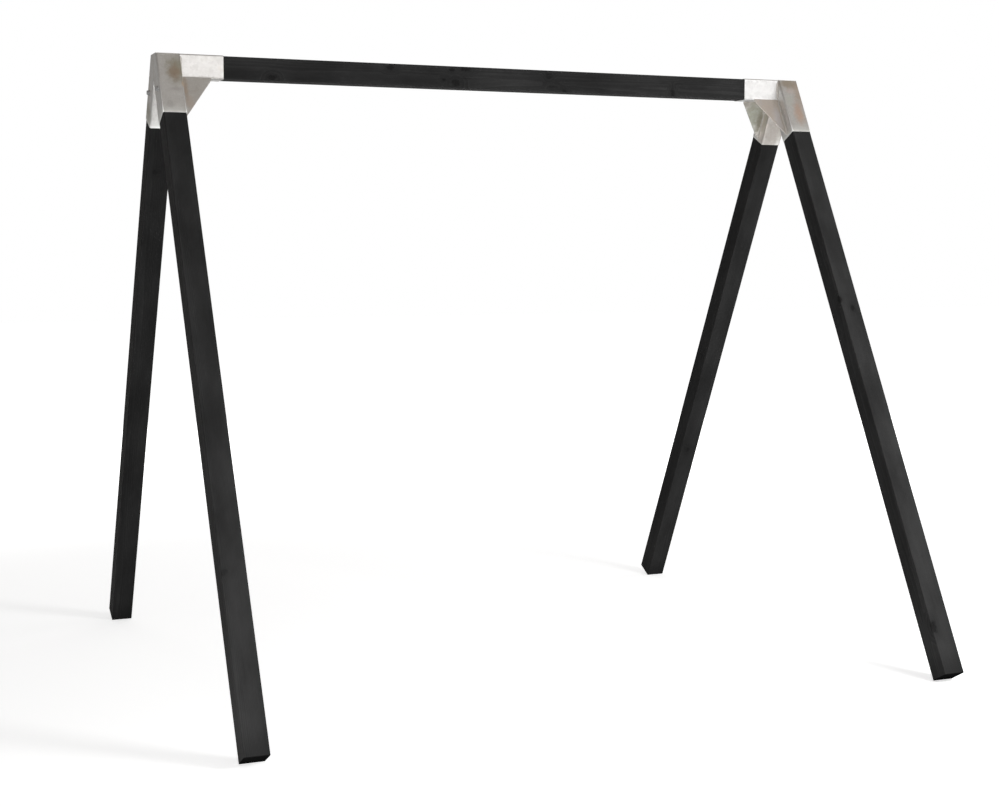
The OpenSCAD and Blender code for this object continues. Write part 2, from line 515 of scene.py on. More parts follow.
class SoftPatch(ShaderGroup):
    """A soft, ragged patch round one point."""

    name = "soft_patch"
    inputs = {"Vector": "Vector", "Centre": "Vector", "Reach": "Vector", "Ragged": "Float"}
    outputs = {"Mask": "Float"}
    full_reach: float = 0.15

    def build(self, graph: Graph, given: Sockets) -> dict[str, Feed]:
        """Places the group's nodes.

        Args:
            graph: The group's own graph.
            given: The group's input sockets, by name.

        Returns:
            The mask of the patch.
        """
        away = graph.distance(given["Vector"], given["Centre"], given["Reach"])
        share = graph.math("ADD", away, given["Ragged"])
        return {"Mask": graph.fade(share, self.full_reach, 1.0, 1.0, 0.0)}


class Effects:
    """The shared shader groups, each built once."""

    def __init__(self) -> None:
        """Builds every group."""
        self.rings = GrowthRings()
        self.knot = KnotSpot()
        self.stain = StainWear()
        self.zinc = ZincBloom()
        self.patch = SoftPatch()


def start_material(name: str) -> tuple[bpy.types.Material, Graph]:
    """Starts a material.

    Args:
        name: Name of the material.

    Returns:
        The material and the graph of its empty tree.
    """
    made = bpy.data.materials.new(name)
    made.use_nodes = True
    return made, Graph(made.node_tree)


@dataclass(frozen=True)
class Knot:
    """One knot of a post, in the post's own axes, in metres."""

    centre: Point
    radius: float
    stretch: Point = (1.0, 1.0, 1.5)
    strength: float = 1.0


@dataclass(frozen=True)
class BlackTimber:
    """Planed softwood with a matt black stain. Each post's stain colour is scaled by a factor of painted
    light and shade, lighter or darker by how the light falls on that post.
    """

    name: str
    place: Matrix
    pith: Point
    ends: Span
    knots: tuple[Knot, ...]
    light_level: float = 1.0
    ring_width: float = 0.0042
    early: Colour = (0.0175, 0.0175, 0.0177, 1)
    late: Colour = (0.0310, 0.0310, 0.0309, 1)
    cloud_range: Span = (0.25, 0.75)
    cloud_levels: Span = (0.72, 1.3)
    knot_tone: Colour = (0.0060, 0.0060, 0.0060, 1)
    halo_share: float = 0.25
    core_share: float = 0.9
    crack_share: float = 0.7
    ragged_scale: float = 80.0
    ragged_detail: float = 1.0
    ragged_range: Span = (0.2, 0.8)
    ragged_reach: Span = (-0.28, 0.28)
    grain_bulge: float = 0.011
    edge_tone: Colour = (0.032, 0.032, 0.032, 1)
    edge_share: float = 0.45
    end_tone: Colour = (0.0045, 0.0045, 0.0045, 1)
    end_share: float = 0.85
    end_reach: Span = (0.0006, 0.0040)
    end_dark_reach: float = 0.13
    end_dark_level: float = 0.66
    specular: float = 0.05
    rough_levels: Span = (0.74, 0.6)
    knot_polish: float = 0.12
    knot_dip: float = 0.5
    bump_strength: float = 0.45
    bump_depth: float = 0.0009

    def material(self, effects: Effects) -> bpy.types.Material:
        """Builds the material.

        Args:
            effects: The shared shader groups.

        Returns:
            The finished material.
        """
        made, graph = start_material(self.name)
        where = graph.own_position(self.place)
        core, halo = self.knot_masks(effects, graph, where)
        bulge = graph.math("MULTIPLY", halo, self.grain_bulge)
        ring_feeds = {"Vector": where, "Pith": self.pith, "Ring Width": self.ring_width, "Bulge": bulge}
        rings = effects.rings.use(graph, ring_feeds)
        stain = effects.stain.use(graph, {"Vector": where, "Half Width": SIZES.post_width / 2})
        colour = graph.mix(rings["Tone"], self.early, self.late)
        darker, paler = (level * self.light_level for level in self.cloud_levels)
        colour = graph.shade(colour, graph.fade(stain["Cloud"], *self.cloud_range, darker, paler))
        for mask, share, tone in (
            (halo, self.halo_share, self.knot_tone),
            (core, self.core_share, self.knot_tone),
            (stain["Edge"], self.edge_share, self.edge_tone),
            (stain["Crack"], self.crack_share, self.knot_tone),
        ):
            colour = graph.mix(graph.math("MULTIPLY", mask, share), colour, tone)
        along = graph.split(where)[2]
        near = graph.math("MINIMUM", *(graph.gap(along, end) for end in self.ends))
        # Darker towards each end of the post.
        colour = graph.shade(colour, graph.fade(near, 0.0, self.end_dark_reach, self.end_dark_level, 1.0))
        colour = graph.mix(graph.fade(near, *self.end_reach, self.end_share, 0.0), colour, self.end_tone)
        shine = graph.fade(near, *self.end_reach, 0.0, self.specular)
        rough = graph.fade(rings["Tone"], 0.0, 1.0, *self.rough_levels)
        rough = graph.math("SUBTRACT", rough, graph.math("MULTIPLY", core, self.knot_polish))
        height = graph.math("SUBTRACT", rings["Height"], graph.math("MULTIPLY", core, self.knot_dip))
        height = graph.math("SUBTRACT", height, stain["Crack"])
        relief = {"Strength": self.bump_strength, "Distance": self.bump_depth, "Height": height}
        bump = graph.place("ShaderNodeBump", relief)
        shader = graph.place("ShaderNodeBsdfPrincipled", {
            "Base Color": colour, "Roughness": rough, "Specular IOR Level": shine, "Normal": bump.outputs[0],
        })
        graph.place("ShaderNodeOutputMaterial", {"Surface": shader.outputs[0]})
        return made

    def knot_masks(self, effects: Effects, graph: Graph, where: Feed) -> tuple[Feed, Feed]:
        """Marks all knots of the post.

        Args:
            effects: The shared shader groups.
            graph: The material's graph.
            where: Position in the post's own axes.

        Returns:
            Masks of the cores and of the halos.
        """
        core: Feed = 0.0
        halo: Feed = 0.0
        ragged = graph.noise(where, self.ragged_scale, self.ragged_detail).outputs["Fac"]
        ragged = graph.fade(ragged, *self.ragged_range, *self.ragged_reach)
        for knot in self.knots:
            feeds = {"Vector": where, "Centre": knot.centre, "Radius": knot.radius, "Stretch": knot.stretch}
            spot = effects.knot.use(graph, feeds | {"Ragged": ragged})
            core = graph.math("MAXIMUM", core, graph.math("MULTIPLY", spot["Core"], knot.strength))
            halo = graph.math("MAXIMUM", halo, graph.math("MULTIPLY", spot["Halo"], knot.strength))
        return core, halo


@dataclass(frozen=True)
class Patch:
    """A tinted patch of a zinc coat, in the piece's own axes, in metres. The table holds mottles of the coat
    and, where marked, painted light and shade.
    """

    centre: Point
    reach: Point
    tone: Colour
    share: float


@dataclass(frozen=True)
class ZincCoat:
    """Hot-dip galvanised steel: satin, softly mottled, with painted shade along folds, paler towards an open
    end with a painted highlight on its rim.
    """

    name: str
    place: Matrix
    shaded_folds: bool = False
    mouth: float | None = None
    patches: tuple[Patch, ...] = ()
    crystal_size: float = 0.009
    crystal_share: float = 0.27
    cloud_share: float = 0.44
    streak_share: float = 0.34
    dark: Colour = (0.49, 0.48, 0.46, 1)
    pale: Colour = (0.77, 0.765, 0.75, 1)
    warm: Colour = (0.55, 0.49, 0.42, 1)
    warm_range: Span = (0.54, 0.72)
    warm_share: float = 0.35
    mouth_tone: Colour = (0.80, 0.81, 0.79, 1)
    mouth_reach: Span = (0.02, 0.075)
    mouth_share: float = 0.75
    mouth_waver: float = 0.05
    # Painted highlight along the rim of the mouth: its colour, reach and share.
    rim_highlight_tone: Colour = (0.96, 0.97, 0.95, 1)
    rim_highlight_reach: Span = (0.003, 0.013)
    rim_highlight_share: float = 0.8
    # Painted shade along a tube's folds: its colour, reach and share.
    fold_shade_tone: Colour = (0.36, 0.355, 0.345, 1)
    fold_shade_reach: Span = (0.002, 0.009)
    fold_shade_share: float = 0.6
    ragged_scale: float = 38.0
    ragged_detail: float = 4.0
    ragged_rough: float = 0.6
    ragged_reach: float = 1.1
    rough_range: Span = (0.2, 0.8)
    rough_low: float = 0.38
    rough_high: float = 0.55
    frost_share: float = 0.35
    bump_strength: float = 0.22
    bump_depth: float = 0.0006

    def material(self, effects: Effects) -> bpy.types.Material:
        """Builds the material.

        Args:
            effects: The shared shader groups.

        Returns:
            The finished material.
        """
        made, graph = start_material(self.name)
        where = graph.own_position(self.place)
        zinc = effects.zinc.use(graph, {"Vector": where, "Crystal Size": self.crystal_size})
        tone = graph.math("MULTIPLY", zinc["Cloud"], self.cloud_share)
        tone = graph.math("MULTIPLY_ADD", zinc["Crystal"], self.crystal_share, tone)
        tone = graph.math("MULTIPLY_ADD", zinc["Streak"], self.streak_share, tone)
        colour = graph.mix(tone, self.dark, self.pale)
        warmth = graph.fade(zinc["Cloud"], *self.warm_range, 0.0, self.warm_share)
        colour = graph.mix(warmth, colour, self.warm)
        # Painted shade: the colour darkens within a few millimetres of each long fold of the tube.
        if self.shaded_folds:
            inset = graph.edge_inset(where, SIZES.tube_half)
            fold_shade_mask = graph.fade(inset, *self.fold_shade_reach, self.fold_shade_share, 0.0)
            colour = graph.mix(fold_shade_mask, colour, self.fold_shade_tone)
        if self.mouth is not None:
            colour = self.pale_mouth(graph, where, zinc["Cloud"], colour)
        colour = self.tinted(effects, graph, where, colour)
        rough = graph.fade(tone, *self.rough_range, self.rough_high, self.rough_low)
        height = graph.math("MULTIPLY_ADD", zinc["Frost"], self.frost_share, zinc["Cloud"])
        relief = {"Strength": self.bump_strength, "Distance": self.bump_depth, "Height": height}
        bump = graph.place("ShaderNodeBump", relief)
        shader = graph.place("ShaderNodeBsdfPrincipled", {
            "Base Color": colour, "Roughness": rough, "Metallic": 1.0, "Normal": bump.outputs[0],
        })
        graph.place("ShaderNodeOutputMaterial", {"Surface": shader.outputs[0]})
        return made

    def pale_mouth(self, graph: Graph, where: Feed, cloud: Feed, colour: Feed) -> bpy.types.NodeSocket:
        """Fades a colour to a paler one towards the open end, with a painted highlight along its rim.

        Args:
            graph: The material's graph.
            where: Position in the piece's own axes.
            cloud: Cloudy value that makes the fade uneven.
            colour: Colour of the rest of the piece.

        Returns:
            The colour with its pale end and its painted rim highlight.
        """
        near = graph.gap(graph.split(where)[2], self.mouth)
        uneven = graph.math("MULTIPLY_ADD", cloud, self.mouth_waver, near)
        pale = graph.fade(uneven, *self.mouth_reach, self.mouth_share, 0.0)
        colour = graph.mix(pale, colour, self.mouth_tone)
        # Painted highlight: a near-white band along the rim of the mouth.
        return graph.mix(graph.fade(near, *self.rim_highlight_reach, self.rim_highlight_share, 0.0), colour, self.rim_highlight_tone)

    def tinted(self, effects: Effects, graph: Graph, where: Feed, colour: Feed) -> Feed:
        """Tints a colour in each patch of the coat.

        Args:
            effects: The shared shader groups.
            graph: The material's graph.
            where: Position in the piece's own axes.
            colour: Colour of the coat without its patches.

        Returns:
            The colour with its patches.
        """
        ragged = graph.noise(where, self.ragged_scale, self.ragged_detail, self.ragged_rough).outputs["Fac"]
        ragged = graph.math("MULTIPLY_ADD", ragged, self.ragged_reach, -self.ragged_reach / 2)
        for patch in self.patches:
            feeds = {"Vector": where, "Centre": patch.centre, "Reach": patch.reach, "Ragged": ragged}
            mask = effects.patch.use(graph, feeds)["Mask"]
            colour = graph.mix(graph.math("MULTIPLY", mask, patch.share), colour, patch.tone)
        return colour


def dress(piece: bpy.types.Object, material: bpy.types.Material) -> None:
    """Gives a piece one material in place of what it has."""
    piece.data.materials.clear()
    piece.data.materials.append(material)


@dataclass(frozen=True)
class SoftEdges:
    """Modifiers that join the loose triangles of a solid and round its sharp edges, in metres."""

    width: float
    join_distance: float = 0.00001
    flat_angle: float = math.radians(1)
    sharp_angle: float = math.radians(35)
    segments: int = 2
    close_distance: float = 0.000002

    def apply(self, piece: bpy.types.Object) -> None:
        """Adds the modifiers to a piece.

        Args:
            piece: A solid's object.
        """
        piece.modifiers.new("joined", "WELD").merge_threshold = self.join_distance
        flat = piece.modifiers.new("flat_faces", "DECIMATE")
        flat.decimate_type = "DISSOLVE"
        flat.angle_limit = self.flat_angle
        bevel = piece.modifiers.new("soft_edges", "BEVEL")
        bevel.limit_method = "ANGLE"
        bevel.angle_limit = self.sharp_angle
        bevel.width = self.width
        bevel.segments = self.segments
        bevel.use_clamp_overlap = False
        # The rounding leaves slivers without area at some corners, and this closes them.
        piece.modifiers.new("closed", "WELD").merge_threshold = self.close_distance


BEAM_KNOTS = (
    Knot((0.031, -0.045, -0.981), 0.0115, (1.0, 1.0, 1.9)),
    Knot((-0.028, -0.045, -0.487), 0.0125),
    Knot((-0.029, -0.045, -0.220), 0.0085),
    Knot((-0.037, -0.045, -0.158), 0.0135, (1.0, 1.0, 1.7)),
    Knot((0.024, -0.045, -0.203), 0.0150, (1.0, 1.0, 1.6)),
    Knot((0.012, -0.045, -0.256), 0.0070),
    Knot((-0.019, -0.045, 0.220), 0.0130, (1.3, 1.0, 1.0), 0.6),
    Knot((0.022, -0.045, 0.238), 0.0090, (1.0, 1.0, 2.2), 0.4),
    Knot((0.042, -0.045, 0.294), 0.0090),
    Knot((0.032, -0.045, 0.815), 0.0105, (1.9, 1.0, 1.0)),
)
LEG_KNOTS = {
    "left_front_leg": (Knot((-0.036, -0.045, -2.094), 0.0120, (1.6, 1.0, 1.2), 0.45),),
    "right_front_leg": (
        Knot((0.006, -0.045, -1.122), 0.0100),
        Knot((-0.045, -0.040, -1.080), 0.0120),
        Knot((-0.036, -0.045, -2.540), 0.0160, (1.0, 1.0, 1.9)),
    ),
}
# Painted light and shade: each post's stain is made lighter or darker by how the light falls on it.
POST_LIGHT_LEVELS = {
    "top_beam": 0.84,
    "left_front_leg": 0.97,
    "left_back_leg": 0.64,
    "right_front_leg": 1.06,
    "right_back_leg": 0.84,
}


@dataclass
class Posts:
    """The beam and the four legs. Faces are outward directions across a post."""

    effects: Effects
    spare_knot_count: int = 6
    knot_radius: Span = (0.006, 0.013)
    knot_aside_share: float = 0.75
    knot_stretch: Span = (1.1, 1.9)
    end_rounding: float = 0.0012
    beam_pith: Point = (0.018, 0.062, 0.0)
    leg_pith: Span = (0.05, 0.03)
    beam_spare_faces: Faces = ((0, 1), (-1, 0), (1, 0))
    seen_leg_spare_faces: Faces = ((0, 1), (1, 0))
    plain_leg_spare_faces: Faces = ((0, 1), (-1, 0), (1, 0), (0, -1))

    def build(self) -> None:
        """Dresses every post."""
        self.dress_beam()
        for side in Side:
            for way in Way:
                self.dress_leg(side, way)

    def spare_knots(self, name: str, faces: Faces, reach: Span) -> Iterator[Knot]:
        """Scatters knots over the faces where the photograph fixes none.

        Args:
            name: The post's name, which seeds the scatter.
            faces: Those faces.
            reach: Lowest and highest place along the post.

        Yields:
            The knots.
        """
        draw = random.Random(name)
        half = SIZES.post_width / 2
        for number in range(self.spare_knot_count):
            aside = draw.uniform(-self.knot_aside_share, self.knot_aside_share) * half
            across = [half * way if way else aside for way in faces[number % len(faces)]]
            radius = draw.uniform(*self.knot_radius)
            stretch = (1.0, 1.0, draw.uniform(*self.knot_stretch))
            yield Knot((across[0], across[1], draw.uniform(*reach)), radius, stretch)

    def finish_post(self, name: str, finish: BlackTimber) -> None:
        """Gives a post its timber and eases its ends.

        Args:
            name: Name of the solid.
            finish: The post's own board.
        """
        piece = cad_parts[name]
        dress(piece, finish.material(self.effects))
        SoftEdges(self.end_rounding).apply(piece)
        log.info("dressed %s with %d knots", name, len(finish.knots))

    def dress_beam(self) -> None:
        """Gives the beam its own board with its own knots."""
        name = "top_beam"
        half = SIZES.beam_length / 2
        ends = (-half, half)
        knots = BEAM_KNOTS + tuple(self.spare_knots(name, self.beam_spare_faces, ends))
        place = SIZES.beam_place()
        self.finish_post(name, BlackTimber("beam_timber", place, self.beam_pith, ends, knots, POST_LIGHT_LEVELS[name]))

    def dress_leg(self, side: Side, way: Way) -> None:
        """Gives one leg its own board with its own knots.

        Args:
            side: End of the beam that the leg is on.
            way: Way that the leg leans.
        """
        name = f"{side.name.lower()}_{way.name.lower()}_leg"
        pith = (self.leg_pith[0] * side.value, self.leg_pith[1] * way.value, 0.0)
        seen = LEG_KNOTS.get(name, ())
        faces = self.seen_leg_spare_faces if seen else self.plain_leg_spare_faces
        knots = seen + tuple(self.spare_knots(name, faces, (-SIZES.leg_foot, -SIZES.leg_tube_end)))
        ends = (-SIZES.leg_foot, -SIZES.leg_top)
        place = SIZES.leg_place(side, way)
        self.finish_post(name, BlackTimber(f"{name}_timber", place, pith, ends, knots, POST_LIGHT_LEVELS[name]))


@dataclass(frozen=True)
class WeldSeam:
    """One rippled bead. X and Y of its place run along the two faces that it joins, Z along the seam."""

    place: Matrix
    length: float
    size: Span
    flat_joint: bool = False
    pitch: float = 0.0026
    rings_per_ripple: int = 4
    fewest_ripples: int = 2
    profile_segments: int = 32
    ripple: float = 0.07
    wobble: float = 0.05
    wobble_length: float = 0.017
    uneven: Span = (0.985, 1.015)
    end_share: float = 0.12
    crescent: float = 0.0016
    join_distance: float = 0.00001

    def build(self, shape: bmesh.types.BMesh, draw: random.Random) -> None:
        """Adds the bead to a mesh.

        Args:
            shape: The mesh that all seams of a bracket go into.
            draw: Source of the small differences between ripples.
        """
        bead = bmesh.new()
        bmesh.ops.create_circle(bead, cap_ends=True, segments=self.profile_segments, radius=1.0)
        cuts = ((0, 1, 0),) if self.flat_joint else ((1, 0, 0), (0, 1, 0))
        for cut in cuts:
            everything = bead.verts[:] + bead.edges[:] + bead.faces[:]
            bmesh.ops.bisect_plane(bead, geom=everything, plane_co=(0, 0, 0), plane_no=cut, clear_inner=True)
        bmesh.ops.remove_doubles(bead, verts=bead.verts, dist=self.join_distance)
        # The ripples are crescents: the middle of the profile runs ahead of the two faces.
        for vert in bead.verts:
            middle = 2 * vert.co.y if self.flat_joint else 4 * vert.co.x * vert.co.y
            vert.co.z = self.crescent * middle
        bmesh.ops.scale(bead, vec=(*self.size, 1.0), verts=bead.verts)
        self.run_along(bead, draw)
        bmesh.ops.recalc_face_normals(bead, faces=bead.faces)
        bmesh.ops.transform(bead, matrix=self.place, verts=bead.verts)
        if self.place.determinant() < 0:
            bmesh.ops.reverse_faces(bead, faces=bead.faces)
        part = bpy.data.meshes.new("bead")
        bead.to_mesh(part)
        bead.free()
        shape.from_mesh(part)
        bpy.data.meshes.remove(part)

    def run_along(self, bead: bmesh.types.BMesh, draw: random.Random) -> None:
        """Draws the profile out along the seam, swelling at each ripple and closing at both ends.

        Args:
            bead: The mesh with the profile as its one face.
            draw: Source of the small differences between ripples.
        """
        travel = self.length - 2 * self.crescent
        rings = max(int(self.length / self.pitch), self.fewest_ripples) * self.rings_per_ripple
        swell = draw.uniform(0, math.tau)
        face = next(iter(bead.faces))
        last = self.girth(0.0, swell)
        bmesh.ops.scale(bead, vec=(last, last, 1.0), verts=bead.verts)
        for ring in range(1, rings + 1):
            grown = bmesh.ops.extrude_face_region(bead, geom=[face])["geom"]
            # Extruding keeps the face that it starts from. Only the first of these closes the bead.
            if ring > 1:
                bmesh.ops.delete(bead, geom=[face], context="FACES_ONLY")
            face = next(item for item in grown if isinstance(item, bmesh.types.BMFace))
            girth = self.girth(ring / rings, swell) * draw.uniform(*self.uneven)
            bmesh.ops.translate(bead, vec=(0, 0, travel / rings), verts=face.verts)
            bmesh.ops.scale(bead, vec=(girth / last, girth / last, 1.0), verts=face.verts)
            last = girth

    def girth(self, share: float, swell: float) -> float:
        """Works out the thickness of the bead at one place.

        Args:
            share: The place, as a share of the bead's length.
            swell: Where the slow wobble starts, in radians.

        Returns:
            The thickness as a share of the full one.
        """
        along = share * self.length
        ripple = abs(math.sin(math.pi * along / self.pitch))
        slow = math.sin(along / self.wobble_length + swell)
        to_end = min(along, self.length - along) / max(self.size)
        taper = math.sqrt(min(1.0, self.end_share + to_end))
        return taper * (1 - self.ripple * (1 - ripple) - self.wobble * (1 - slow))


@dataclass
class WeldBeads:
    """All rippled weld seams of one bracket."""

    side: Side
    effects: Effects
    bead_width: float = 0.0042
    upright_width: float = 0.0080
    mitre_size: Span = (0.0035, 0.0007)
    sharp_angle: float = math.radians(50)
    crystal_size: float = 0.003
    dark: Colour = (0.36, 0.34, 0.31, 1)
    pale: Colour = (0.60, 0.58, 0.55, 1)
    warm: Colour = (0.42, 0.33, 0.25, 1)
    rough: Span = (0.45, 0.62)

    def build(self) -> None:
        """Builds the seams as one piece in place of the plain beads."""
        name = f"{self.side.name.lower()}_weld_seams"
        draw = random.Random(name)
        shape = bmesh.new()
        for seam in self.seams():
            seam.build(shape, draw)
        mesh = bpy.data.meshes.new(name)
        shape.to_mesh(mesh)
        shape.free()
        mesh.shade_smooth()
        mesh.set_sharp_from_angle(angle=self.sharp_angle)
        piece = bpy.data.objects.new(name, mesh)
        bpy.context.scene.collection.objects.link(piece)
        finish = ZincCoat(f"{name}_zinc", Matrix.Identity(4), crystal_size=self.crystal_size, dark=self.dark,
                          pale=self.pale, warm=self.warm, rough_low=self.rough[0], rough_high=self.rough[1])
        dress(piece, finish.material(self.effects))
        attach(piece, "root")
        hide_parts(f"{self.side.name.lower()}_weld_beads")
        log.info("built %s", name)

    def seams(self) -> Iterator[WeldSeam]:
        """Lists the bracket's seams.

        Yields:
            The uprights beside the beam tube, the one under it, the gussets' seams and the mitre's.
        """
        inward = -self.side.value
        corner_x = self.side.value * SIZES.beam_tube_back
        size = SIZES.weld_size
        bead = (self.bead_width, self.bead_width)
        fold = SIZES.tube_radius / math.cos(SIZES.leg_lean)
        lean_reach = (size + fold - SIZES.leg_step) / math.tan(SIZES.leg_lean)
        foot = SIZES.beam_z - SIZES.tube_half + SIZES.tube_radius + size
        head = SIZES.beam_z + SIZES.tube_half - max(SIZES.tube_radius, lean_reach)
        for way in Way:
            corner = (corner_x, way.value * SIZES.tube_half, foot)
            upright = self.axes((inward, 0, 0), (0, way.value, 0), (0, 0, 1), corner)
            yield WeldSeam(upright, head - foot, (self.upright_width, size))
        gusset_y = SIZES.leg_axis_y + SIZES.tube_half * math.tan(SIZES.leg_lean)
        gusset_inside = gusset_y - SIZES.gusset_thickness / 2 / math.cos(SIZES.leg_lean)
        half = min(SIZES.tube_half - SIZES.tube_radius, gusset_inside - size)
        corner = (corner_x, -half, SIZES.beam_z - SIZES.tube_half)
        yield WeldSeam(self.axes((inward, 0, 0), (0, 0, -1), (0, 1, 0), corner), 2 * half, bead)
        seam_top = (SIZES.tube_half + size) / math.cos(SIZES.leg_lean)
        seam_end = SIZES.leg_tube_end - SIZES.gusset_foot_setback - size
        for way in Way:
            for face in (-1, 1):
                corner = (inward * SIZES.tube_half, face * SIZES.gusset_thickness / 2, -seam_end)
                own = self.axes((inward, 0, 0), (0, face, 0), (0, 0, 1), corner)
                yield WeldSeam(SIZES.leg_place(self.side, way) @ own, seam_end - seam_top, bead)
        outer_x = self.side.value * (SIZES.leg_axis_x + SIZES.tube_half)
        low = SIZES.beam_z - SIZES.crotch_drop
        high = SIZES.beam_z + SIZES.tube_half - SIZES.cap_thickness
        mitre = self.axes((0, 1, 0), (self.side.value, 0, 0), (0, 0, 1), (outer_x, 0, low))
        yield WeldSeam(mitre, high - low, self.mitre_size, flat_joint=True)

    @staticmethod
    def axes(first: Point, second: Point, along: Point, origin: Point) -> Matrix:
        """The matrix with three directions as its columns and a place as its origin."""
        turn = Matrix((first, second, along)).transposed().to_4x4()
        return Matrix.Translation(origin) @ turn


# Tinted patches per piece: mottles of the coat, and painted light and shade where marked.
TINTS_AND_PAINTED_LIGHT = {
    "left_beam_tube": (
        # Painted shade: dims the lit front face a little.
        Patch((0.000, -0.047, -1.262), (0.120, 0.050, 0.300), (0.82, 0.80, 0.79, 1), 0.30),
        # Painted shade along the lower edge of the tube.
        Patch((0.047, -0.047, -1.262), (0.012, 0.050, 0.300), (0.40, 0.385, 0.365, 1), 0.80),
    ),
    "right_beam_tube": (
        # Painted shade: darkens the whole brightly lit tube.
        Patch((0.000, -0.047, 1.262), (0.300, 0.300, 0.600), (0.67, 0.67, 0.67, 1), 0.75),
        # Painted light: lifts the painted fold shade along the top front edge.
        Patch((-0.047, -0.047, 1.262), (0.012, 0.050, 0.300), (0.78, 0.78, 0.77, 1), 0.85),
    ),
    "left_front_leg_tube": (
        Patch((0.032, -0.047, -0.048), (0.066, 0.030, 0.090), (0.37, 0.355, 0.275, 1), 0.85),
        Patch((0.018, -0.047, -0.060), (0.036, 0.030, 0.055), (0.41, 0.30, 0.225, 1), 0.60),
        Patch((0.046, -0.047, -0.112), (0.012, 0.030, 0.022), (0.62, 0.44, 0.28, 1), 0.55),
        Patch((0.016, -0.047, -0.135), (0.046, 0.030, 0.012), (0.44, 0.42, 0.42, 1), 0.40),
        Patch((-0.014, -0.047, -0.208), (0.020, 0.030, 0.026), (0.42, 0.41, 0.40, 1), 0.40),
    ),
    "left_back_leg_tube": (
        Patch((-0.047, 0.010, -0.195), (0.020, 0.070, 0.060), (0.38, 0.365, 0.29, 1), 0.70),
    ),
    "right_front_leg_tube": (
        Patch((0.000, -0.047, 0.012), (0.080, 0.030, 0.044), (0.43, 0.36, 0.27, 1), 0.75),
        Patch((0.038, -0.047, -0.050), (0.036, 0.030, 0.100), (0.52, 0.41, 0.32, 1), 0.60),
        Patch((0.000, -0.047, -0.030), (0.034, 0.030, 0.024), (0.70, 0.60, 0.55, 1), 0.50),
        Patch((-0.020, -0.047, -0.080), (0.030, 0.030, 0.050), (0.64, 0.66, 0.60, 1), 0.50),
        Patch((0.014, -0.047, -0.145), (0.036, 0.030, 0.085), (0.64, 0.45, 0.34, 1), 0.70),
        # Painted shade: a dark band down the inner side face.
        Patch((-0.047, -0.012, -0.138), (0.030, 0.016, 0.110), (0.40, 0.41, 0.39, 1), 0.60),
    ),
    "right_back_leg_tube": (
        Patch((-0.010, -0.047, -0.180), (0.120, 0.030, 0.220), (0.34, 0.31, 0.28, 1), 0.85),
        Patch((-0.047, -0.020, -0.165), (0.016, 0.046, 0.190), (0.80, 0.74, 0.68, 1), 0.80),
    ),
    "left_front_gusset": (
        Patch((0.100, 0.000, -0.110), (0.150, 0.050, 0.200), (0.50, 0.475, 0.435, 1), 0.45),
        # Painted shade: a dark strip on the gusset beside the leg tube.
        Patch((0.060, 0.000, -0.100), (0.020, 0.030, 0.070), (0.46, 0.35, 0.26, 1), 0.60),
        Patch((0.075, 0.000, -0.170), (0.030, 0.030, 0.050), (0.62, 0.52, 0.44, 1), 0.45),
    ),
    "right_front_gusset": (
        Patch((-0.095, 0.000, -0.110), (0.150, 0.050, 0.200), (0.71, 0.64, 0.58, 1), 0.90),
        Patch((-0.075, 0.000, -0.150), (0.030, 0.030, 0.080), (0.74, 0.73, 0.75, 1), 0.60),
    ),
    "right_back_gusset": (
        # Painted shade: these three patches darken the corner where the gusset meets the leg tube.
        Patch((-0.125, 0.000, -0.060), (0.130, 0.030, 0.050), (0.37, 0.33, 0.29, 1), 0.75),
        Patch((-0.100, 0.000, -0.120), (0.090, 0.030, 0.110), (0.31, 0.315, 0.25, 1), 0.80),
        Patch((-0.062, 0.000, -0.150), (0.026, 0.030, 0.060), (0.26, 0.25, 0.20, 1), 0.75),
    ),
}


@dataclass
class CornerBracket:
    """The welded corner bracket at one end of the beam."""

    side: Side
    effects: Effects
    rim_rounding: float = 0.0006
    plate_rounding: float = 0.0008

    def build(self) -> None:
        """Dresses the bracket's tubes, plates, screws and washers, and builds its weld seams."""
        name = self.side.name.lower()
        self.finish_tube(f"{name}_beam_tube", SIZES.beam_place())
        self.finish_plate(f"{name}_cap_plate", Matrix.Identity(4))
        for way in Way:
            place = SIZES.leg_place(self.side, way)
            own_name = f"{name}_{way.name.lower()}"
            self.finish_tube(f"{own_name}_leg_tube", place, -SIZES.leg_tube_end)
            self.finish_plate(f"{own_name}_gusset", place)
        WeldBeads(self.side, self.effects).build()
        for node in (f"{name}_leg_screws", f"{name}_leg_washers"):
            ScrewDress(node, self.effects).build()

    def finish_tube(self, node: str, place: Matrix, mouth: float | None = None) -> None:
        """Gives one tube its zinc and softens its edges.

        Args:
            node: Name of the solid.
            place: The matrix from the tube's own axes to the frame's.
            mouth: Place of a pale open end along the tube's own Z, if it has one.
        """
        finish = ZincCoat(f"{node}_zinc", place, True, mouth, TINTS_AND_PAINTED_LIGHT.get(node, ()))
        self.finish_piece(node, finish, self.rim_rounding, Slot.TUBE)

    def finish_plate(self, node: str, place: Matrix) -> None:
        """Gives one plate its zinc and softens its edges."""
        finish = ZincCoat(f"{node}_zinc", place, patches=TINTS_AND_PAINTED_LIGHT.get(node, ()))
        self.finish_piece(node, finish, self.plate_rounding, Slot.PLATE)

    def finish_piece(self, node: str, finish: ZincCoat, rounding: float, slot: Slot) -> None:
        """Dresses one piece of the bracket.

        Args:
            node: Name of the solid.
            finish: Its zinc.
            rounding: Width of the rounding of its edges in metres.
            slot: The record's material slot; not used.
        """
        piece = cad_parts[node]
        dress(piece, finish.material(self.effects))
        SoftEdges(rounding).apply(piece)
        log.info("dressed %s", node)


